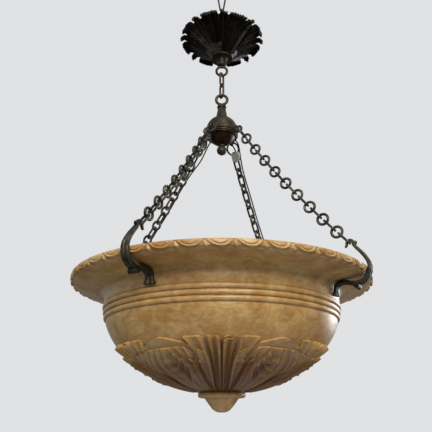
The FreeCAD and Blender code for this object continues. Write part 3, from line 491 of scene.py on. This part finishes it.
hook_bronze = bronze_finish("hook_bronze", "1f1c19", "5b5546", "4a4a3c", 0.42)
RIM = -0.637376  # level of the bowl's rim, in metres
BOSS, BOSS_DROP, TIP, TIP_RISE = 0.2328, 0.0301, 0.2352, 0.0372  # volute boss and bead, from the rim
HOOK_LINE = [  # radius, height from the rim, thickness and width
    (198.6, -41.0, 7.5, 18.0), (198.8, -38.0, 7.2, 17.5), (199.2, -35.5, 5.6, 13.5),
    (199.4, -31.0, 5.6, 12.5),
    (201.2, -26.6, 6.0, 13.0), (205.5, -23.3, 6.2, 13.5), (211.5, -21.9, 6.2, 14.0),
    (218.0, -22.6, 6.2, 14.0), (224.0, -24.8, 6.2, 14.0), (230.5, -26.2, 6.2, 14.0),
    (237.5, -25.4, 6.2, 13.6), (244.0, -22.3, 6.4, 13.4), (249.8, -17.0, 6.6, 13.2),
    (253.4, -10.0, 6.4, 13.0), (254.4, -2.5, 6.2, 12.6), (253.0, 5.0, 6.0, 12.0),
    (249.0, 13.0, 5.8, 11.2), (243.4, 21.0, 5.6, 10.4), (237.2, 28.5, 5.4, 9.4),
    (233.2, 34.0, 5.2, 7.4), (232.3, 38.6, 5.0, 5.2), (230.6, 41.6, 4.8, 5.0),
    (227.5, 42.6, 4.6, 4.8), (224.4, 41.4, 4.4, 4.6), (222.7, 38.4, 4.2, 4.4),
    (221.9, 34.0, 3.8, 4.2), (219.6, 31.4, 2.4, 3.6)]
twin_rib = [(x, 0.42 + 0.58 * math.sqrt(max(0, 1 - ((abs(x) - 0.52) / 0.5) ** 2)))
            for x in (-1, -0.94, -0.8, -0.52, -0.26, -0.12, 0, 0.12, 0.26, 0.52, 0.8, 0.94, 1)]
twin_rib += [(-x, -y) for x, y in twin_rib]


def hook_frame(number):
    """Where the hook's section stands at one point of its line: across, along its width, and on."""
    radius, height, thick, width = HOOK_LINE[number]
    before, after = HOOK_LINE[max(number - 1, 0)], HOOK_LINE[min(number + 1, len(HOOK_LINE) - 1)]
    on = math.atan2(after[1] - before[1], after[0] - before[0])
    place = Matrix.Translation((radius / 1000, 0, RIM + height / 1000)) @ Matrix.Rotation(-on, 4, "Y")
    return place @ Matrix.Diagonal((1, width / 2000, thick / 2000, 1))


hook = bmesh.new()
corners = [hook.verts.new((0, x, y)) for x, y in twin_rib]
face = hook.faces.new(corners)
bmesh.ops.transform(hook, matrix=hook_frame(0), verts=corners)
ring = face.edges[:]
for number in range(1, len(HOOK_LINE)):
    grown = bmesh.ops.extrude_edge_only(hook, edges=ring)["geom"]
    ring = [item for item in grown if isinstance(item, bmesh.types.BMEdge)]
    moved = [item for item in grown if isinstance(item, bmesh.types.BMVert)]
    step = hook_frame(number) @ hook_frame(number - 1).inverted()
    bmesh.ops.transform(hook, matrix=step, verts=moved)
bmesh.ops.contextual_create(hook, geom=ring)
for radius, long in ((4.3, 16.0), (2.6, 17.2), (1.1, 18.4)):
    place = Matrix.Translation((BOSS, 0, RIM - BOSS_DROP)) @ Matrix.Rotation(math.pi / 2, 4, "X")
    bmesh.ops.create_cone(hook, cap_ends=True, segments=32, radius1=radius / 1000, radius2=radius / 1000,
                          depth=long / 1000, matrix=place)
bmesh.ops.create_uvsphere(hook, u_segments=16, v_segments=10, radius=0.0034,
                          matrix=Matrix.Translation((TIP, 0, RIM + TIP_RISE)))
bmesh.ops.recalc_face_normals(hook, faces=hook.faces)
for side, azimuth in CORNERS:
    shape = bmesh.new()
    add_copy(shape, hook, Matrix.Rotation(math.radians(azimuth), 4, "Z"))
    piece(f"{side}_hook", shape, hook_bronze, "hook_" + side, ["hook_" + side], 50)

# ---- bowl ----
# Turned and carved alabaster, honey brown with cloudy veins, waxed to a satin. Its lip is carved
# with a band of tongues, three reeds run round below the neck, and acanthus leaves cover the foot.

alabaster, place = new_finish("honey_alabaster")
fine = clouds(place, 55, 6, 0.62, 0.8)
broad = clouds(place, 9, 4, 0.55, 1.6)
drift = place.node("VectorMath", {"operation": "MULTIPLY"}, {0: place, 1: (1, 1, 2.6)})
veins = clouds(drift, 16, 8, 0.6, 2.2)
stone = place.mix(spread(broad, 0.34, 0.66), tint("b5884a"), tint("d3ad6c"))
stone = place.mix(spread(fine, 0.35, 0.75) * 0.55, stone, tint("e0c48e"))
stone = place.mix(spread(0.06 - abs(veins - 0.5), 0.0, 0.06) * 0.35, stone, tint("9a6431"))
stone = place.mix(spread(clouds(place, 14, 3, 0.5, 1.0), 0.56, 0.8) * 0.6, stone, tint("a9702f"))
depth = place.node("Attribute", {"attribute_name": "hollow"}, {}, 2)
level = place.node("SeparateXYZ", {}, {0: place}, 2)
# Darker and browner towards the bottom of the bowl, stopping above the boss. This is partly painted shade
# on the down-facing underside and partly the stone's own deeper tone.
low = 1 - spread(level, -0.800, -0.744)
foot = 1 - spread(level, -0.8130, -0.8120)
stone = place.mix(low * (1 - foot) * 0.82, stone, tint("74431a"))
# Painted shade: darker in the carving's hollows, at the leaves' sunk edges, in the grooves between the
# reeds and round the lip's tongues.
stone = place.mix(spread(depth, 0.2, 1.0) * 0.8, stone, tint("56300f"))
set_shader(alabaster, base_color=stone, roughness=fine * 0.22 + 0.24, coat_weight=0.15,
           coat_roughness=0.3,
           normal=bumps(place, fine * 0.5 + clouds(place, 420, 3) * 0.25, 0.0004))

REED_TOP, REED_PITCH = 43.5, 8.2  # millimetres under the rim, and from reed to reed
OUTER_WALL = 0.186  # a radius that parts the reeds from the bowl's inside
reeds = [(193.2, -REED_TOP)]
for number in range(3):
    out, high = 196.4 - 1.4 * number, REED_TOP + REED_PITCH * number
    reeds += arc(reeds[-1], (out, -high - REED_PITCH / 2), (out - 4.0, -high - REED_PITCH), 9)
belly = arc((38, -172.5), (108, -151.5), (155, -121), 30)
belly += arc((155, -121), (177.5, -96), (190.7, -68.1), 12)
cove = arc((195, -31), (198.2, -22.8), (206, -18.8), 8) + [(212, -16.8)]
inside = [(180, 0), (177.2, -1.2), (176, -4), (176, -31.5), (179, -68.1)]
inside += arc((179, -68.1), (165.8, -90.8), (145.25, -112.4), 10)
inside += arc((145.25, -112.4), (101.5, -139.8), (37.5, -161), 12) + [(9.3, -162)]
belly_line = Ground([(36, -173.2)] + belly)
carved = [belly_line.flat(mark, -3.2 * ramp(166, 150, radius) * ramp(38, 44, radius))
          for mark, (radius, z) in zip(belly_line.marks, belly_line.points)]
body = [(9.3, -175), (35.5, -175)] + carved[:-1] + reeds[::-1] + [(194.4, -41), (195, -31)]
body += cove + inside
bowl = spun(body, RIM, 360)
hollow = bowl.verts.layers.float.new("hollow")
# Painted shade in the grooves between the reeds.
for vert in bowl.verts:
    turns_down = ((RIM - vert.co.z) * 1000 - REED_TOP) / REED_PITCH
    if -0.5 < turns_down < 3.5 and math.hypot(vert.co.x, vert.co.y) > OUTER_WALL:
        vert[hollow] = 0.55 * math.exp(-((turns_down - round(turns_down)) / 0.13) ** 2)
piece("bowl_body", bowl, alabaster, "bowl", ["bowl"])


def along_line(first, last, count):
    return [(first[0] + (last[0] - first[0]) * k / count, first[1] + (last[1] - first[1]) * k / count)
            for k in range(1, count + 1)]


LIP_DEPTH, CARVED_FROM = 12, 244.5  # millimetres: the edge's height, and where its carving starts
TONGUE_TURN, TONGUE_SLANT = 9.0, 0.10  # degrees from tongue to tongue, and a share of that
lip_edge = arc((247, -12), (249.1, -11.1), (250, -9), 5) + along_line((250, -9), (250, -3), 8)
lip_edge += arc((250, -3), (249.1, -0.9), (247, 0), 5)
lip = spun([(203, -14)] + along_line((205.2, -18.93), (247, -12), 8) + lip_edge
           + along_line((247, 0), (180, 0), 8), RIM, 1200)
hollow = lip.verts.layers.float.new("hollow")
for vert in lip.verts:
    radius, z = math.hypot(vert.co.x, vert.co.y) * 1000, (vert.co.z - RIM) * 1000
    if radius < CARVED_FROM:
        continue
    t = (z + LIP_DEPTH) / LIP_DEPTH
    turn = math.degrees(math.atan2(vert.co.y, vert.co.x)) / TONGUE_TURN + TONGUE_SLANT * t
    a = abs(turn - round(turn))
    egg = math.hypot(a / 0.41, (1.1 - t) / 1.0)
    cut = 2.6 * ramp(0.98, 1.16, egg)
    cut += 1.5 * math.exp(-((egg - 0.80) / 0.07) ** 2) - 0.3 * ramp(0.6, 0.0, egg)
    cut -= 2.0 * math.exp(-((a - 0.5) / 0.055) ** 2) * ramp(0.9, 0.6, t)
    cut = max(cut, 0) * ramp(CARVED_FROM, 248.0, radius) * ramp(1.02, 0.9, t)
    # Painted shade round the carved tongues.
    vert[hollow] = min(cut / 4.5, 0.6)
    drop = (1 - t) * cut * 0.7
    scale = (radius - cut) / radius
    vert.co = Vector((vert.co.x * scale, vert.co.y * scale, vert.co.z + drop / 1000))
piece("bowl_lip", lip, alabaster, "bowl", [])

# ---- carved leaves ----
# Acanthus cut from the bowl's own stone: fan leaves stand upright, and between them large leaves
# roll over to the side, fluted, with drilled eyes where their lobes part. Plain leaves lie behind.


def bowl_rib(heights, *places):
    """A rib through places of azimuth and radius, with a height at each."""
    return ([azimuth for azimuth, radius in places],
            [belly_line.mark_at(radius) for azimuth, radius in places], list(heights))


# Heights from foot to tip, in millimetres, of a ridge, a shallow dip and a deep cut.
RIDGE, DIP, CUT = (2.2, 3.2, 3.4, 5.8), (0.6, 0.8, 0.6, 3.4), (0.0, -0.6, -1.2, 0.6)
fan_half = [
    bowl_rib((1.4, 2.0, 2.2, 4.4), (1.0, 44), (0.9, 105), (0.8, 145), (0.9, 165.5)),
    bowl_rib(RIDGE, (2.6, 44), (1.9, 110), (1.7, 148), (2.6, 168.5)),
    bowl_rib(CUT, (4.6, 44), (3.4, 112), (3.6, 148), (4.5, 165.5)),
    bowl_rib(RIDGE, (6.2, 44), (4.7, 112), (5.2, 148), (6.4, 168.8)),
    bowl_rib(CUT, (7.8, 44), (5.9, 112), (7.0, 147), (8.2, 165.5)),
    bowl_rib(RIDGE, (8.8, 44), (7.0, 112), (9.0, 147), (11.2, 168.4)),
    bowl_rib(DIP, (9.8, 44), (8.2, 112), (11.0, 146.5), (14.4, 167.4)),
    bowl_rib(RIDGE, (10.8, 44), (9.4, 111), (12.8, 144), (17.7, 168)),
    bowl_rib(CUT, (11.2, 44), (9.8, 109), (13.2, 140), (16.6, 162)),
]
fan_leaf = [([-a for a in azimuth], along, height) for azimuth, along, height in fan_half[::-1]]
fan_leaf += [bowl_rib((-0.6, -1.4, -1.8, -2.4), (0, 44), (0, 105), (0, 145), (0, 162))] + fan_half
rolled_leaf = [
    bowl_rib((2.4, 3.0, 3.6, 4.0), (9.7, 46), (7.3, 96), (6.8, 128), (7.8, 143)),
    bowl_rib(RIDGE, (10.6, 46), (9.0, 98), (8.8, 128), (8.9, 150)),
    bowl_rib(DIP, (11.6, 46), (10.6, 98), (10.8, 129), (10.4, 149)),
    bowl_rib(RIDGE, (12.6, 46), (12.2, 99), (13.0, 132), (12.6, 154)),
    bowl_rib(CUT, (14.0, 46), (13.8, 95), (15.0, 124), (15.6, 147)),
    bowl_rib((3.0, 4.2, 4.8, 6.6), (16.0, 46), (15.4, 104), (17.8, 134), (18.6, 156)),
    bowl_rib(DIP, (18.5, 46), (16.8, 110), (19.6, 138), (21.0, 156)),
    bowl_rib(RIDGE, (21.0, 46), (18.4, 116), (21.4, 142), (23.6, 157)),
    bowl_rib(DIP, (24.0, 46), (20.6, 118), (24.0, 142), (26.0, 156)),
    bowl_rib(RIDGE, (27.0, 46), (23.4, 118), (26.6, 142), (28.2, 156)),
    bowl_rib((0.8, 1.8, 2.2, 4.6), (32.0, 46), (29.6, 96), (30.6, 130), (30.0, 155.5)),
    bowl_rib(RIDGE, (37.0, 46), (34.6, 97), (36.0, 126), (32.2, 156)),
    bowl_rib(DIP, (42.0, 46), (39.4, 95), (39.6, 126), (34.0, 155)),
    bowl_rib(RIDGE, (47.0, 46), (43.6, 92), (42.6, 126), (35.8, 156)),
    bowl_rib(CUT, (52.0, 46), (48.6, 92), (46.0, 127), (37.8, 152)),
    bowl_rib(RIDGE, (57.0, 48), (53.4, 92), (48.4, 129), (40.0, 155)),
    bowl_rib(DIP, (59.4, 62), (56.6, 98), (50.6, 129), (42.4, 154)),
    bowl_rib(RIDGE, (59.8, 82), (58.0, 106), (53.0, 130), (44.6, 154)),
    bowl_rib(CUT, (59.9, 100), (58.8, 114), (55.4, 131), (46.4, 150)),
    bowl_rib(RIDGE, (59.9, 114), (59.2, 121), (57.2, 133), (49.2, 152)),
    bowl_rib(DIP, (59.9, 124), (59.4, 128), (58.4, 136), (51.8, 151)),
    bowl_rib(RIDGE, (59.9, 131), (59.6, 134), (59.2, 139), (54.4, 150)),
    bowl_rib((0.8, 1.0, 1.0, 1.0), (59.9, 137), (59.8, 139), (59.7, 142), (57.6, 147)),
]
rolled_eyes = [(10, 0.82, 0.055), (10, 0.66, 0.06), (9.8, 0.50, 0.06), (9.6, 0.35, 0.06),
               (4, 0.74, 0.03)]
plain_leaf = [bowl_rib(heights, (azimuth, 128), (azimuth, 140), (azimuth, (140 + reach) / 2),
                       (azimuth, reach))
              for azimuth, reach, heights in (
                  (14, 156, (0.2, 0.3, 0.5, 1.6)), (18, 160.5, (0.2, 0.5, 0.9, 3.2)),
                  (23, 164, (0.2, 0.5, 0.9, 3.4)), (27.5, 167, (0.2, 0.6, 1.1, 3.6)),
                  (31, 168.6, (0.2, 0.8, 1.8, 4.0)), (35, 166.5, (0.2, 0.6, 1.1, 3.6)),
                  (40, 163, (0.2, 0.5, 0.9, 3.4)), (45, 158, (0.2, 0.5, 0.9, 3.0)),
                  (48, 154, (0.2, 0.3, 0.5, 1.4)))]
leaves = bmesh.new()
leaves.verts.layers.float.new("hollow")
for number in range(3):
    front = -90 + 120 * number
    for turn in (front, front + 60):
        loft_leaf(leaves, belly_line, RIM, fan_leaf, 4, 40, turn, eyes=[(11, 0.95, 0.022)])
    for flip in (1, -1):
        loft_leaf(leaves, belly_line, RIM, plain_leaf, 4, 16, front, flip)
        loft_leaf(leaves, belly_line, RIM, rolled_leaf, 6, 56, front, flip, eyes=rolled_eyes)
piece("bowl_leaves", leaves, alabaster, "bowl", [], 60)

# ---- bottom boss ----
# A stepped disc and a drop-shaped knob of the same stone, turned in one piece. A dowel holds it in
# the hole at the foot of the bowl.

clothe(alabaster, "bottom_boss")

# ---- lamp bar, lampholders and lamps ----
# A brass strap across the inside of the bowl, with two brass lampholders and two pearl lamps with
# aluminium caps. The stone hides all of it from below.

brass, place = new_finish("dull_brass")
stains = clouds(place, 120, 4, 0.6)
set_shader(brass, base_color=place.mix(spread(stains, 0.3, 0.7), tint("8a6a35"), tint("b8934f")),
           metallic=1.0, roughness=stains * 0.2 + 0.28)
clothe(brass, "lamp_bar", "lampholder_right", "lampholder_left")

aluminium, place = new_finish("cap_aluminium")
set_shader(aluminium, base_color=place.mix(clouds(place, 300), tint("b5b5b2"), tint("d2d2cf")),
           metallic=1.0, roughness=clouds(place, 500) * 0.2 + 0.25)
clothe(aluminium, "lamp_cap_right", "lamp_cap_left")

pearl, place = new_finish("pearl_glass")
set_shader(pearl, base_color=place.mix(clouds(place, 60), tint("ece9e2"), tint("f7f5f0")),
           roughness=clouds(place, 200) * 0.1 + 0.22, transmission_weight=0.35)
clothe(pearl, "lamp_glass_right", "lamp_glass_left")

# ---- leads and terminal block ----
# Two thin flexible leads in dark woven covers. They leave the crown under its plate, run down beside
# the back chains and over the rim to the lampholders. A short feed joins the right-hand one in a block.

cover, place = new_finish("woven_cover")
weave = place.node("TexWave", {"wave_type": "BANDS", "bands_direction": "DIAGONAL"},
                   {"Vector": place, "Scale": 420, "Distortion": 2.0})
set_shader(cover, base_color=place.mix(weave, tint("1d1a17"), tint("38332c")),
           roughness=weave * 0.2 + 0.6, normal=bumps(place, weave, 0.0002))

LEAD_RADIUS = 0.0013


def draw_lead(name, points, replaced):
    curve = bpy.data.curves.new(name, "CURVE")
    curve.dimensions = "3D"
    curve.bevel_depth = LEAD_RADIUS
    curve.bevel_resolution = 4
    curve.use_fill_caps = True
    curve.materials.append(cover)
    line = curve.splines.new("NURBS")
    line.points.add(len(points) - 1)
    for point, place in zip(line.points, points):
        point.co = (*(value / 1000 for value in place), 1)
    line.order_u = 3
    line.use_endpoint_u = True
    line.resolution_u = 10
    item = bpy.data.objects.new(name, curve)
    bpy.context.collection.objects.link(item)
    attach(item, "crown")
    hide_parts(replaced)


draw_lead("right_lead", [
    (23.09, 18.04, -338.35), (31.76, 24.81, -342.85), (34.73, 27.75, -356.41),
    (37.94, 33.32, -382.64), (45.47, 60.36, -401.77), (57.55, 81.29, -433.27),
    (71.05, 104.65, -474.81), (86.71, 131.78, -513.19), (98.46, 152.14, -549.29),
    (91.68, 152.58, -593.38), (92.87, 127.82, -629.38), (95.86, 99.27, -665.38),
    (95.02, 66.53, -697.38), (89.53, 53.6, -731.1), (82.89, 37.95, -731.1)], "lead_right")
draw_lead("left_lead", [
    (-18.04, 23.09, -338.35), (-24.81, 31.76, -342.85), (-31.01, 36.61, -354.14),
    (-41.43, 42.62, -376.87), (-60.36, 45.47, -401.77), (-81.29, 57.55, -433.27),
    (-104.65, 71.05, -474.81), (-131.78, 86.71, -513.19), (-152.14, 98.46, -549.29),
    (-155.68, 86.3, -593.38), (-144.34, 64.26, -629.38), (-132.65, 38.04, -665.38),
    (-115.56, 10.11, -697.38), (-104.34, 1.65, -731.1), (-90.76, -8.57, -731.1)], "lead_left")
draw_lead("feed", [(18.26, 21.76, -344.85), (20.04, 24.31, -349.35), (26.3, 23.95, -360.25),
                   (27.66, 26.31, -364.67)], "feed_lead")

block, place = new_finish("block_moulding")
set_shader(block, base_color=place.mix(clouds(place, 80), tint("9b9c9c"), tint("b4b5b4")),
           roughness=clouds(place, 300) * 0.15 + 0.4)
clothe(block, "terminal_block")
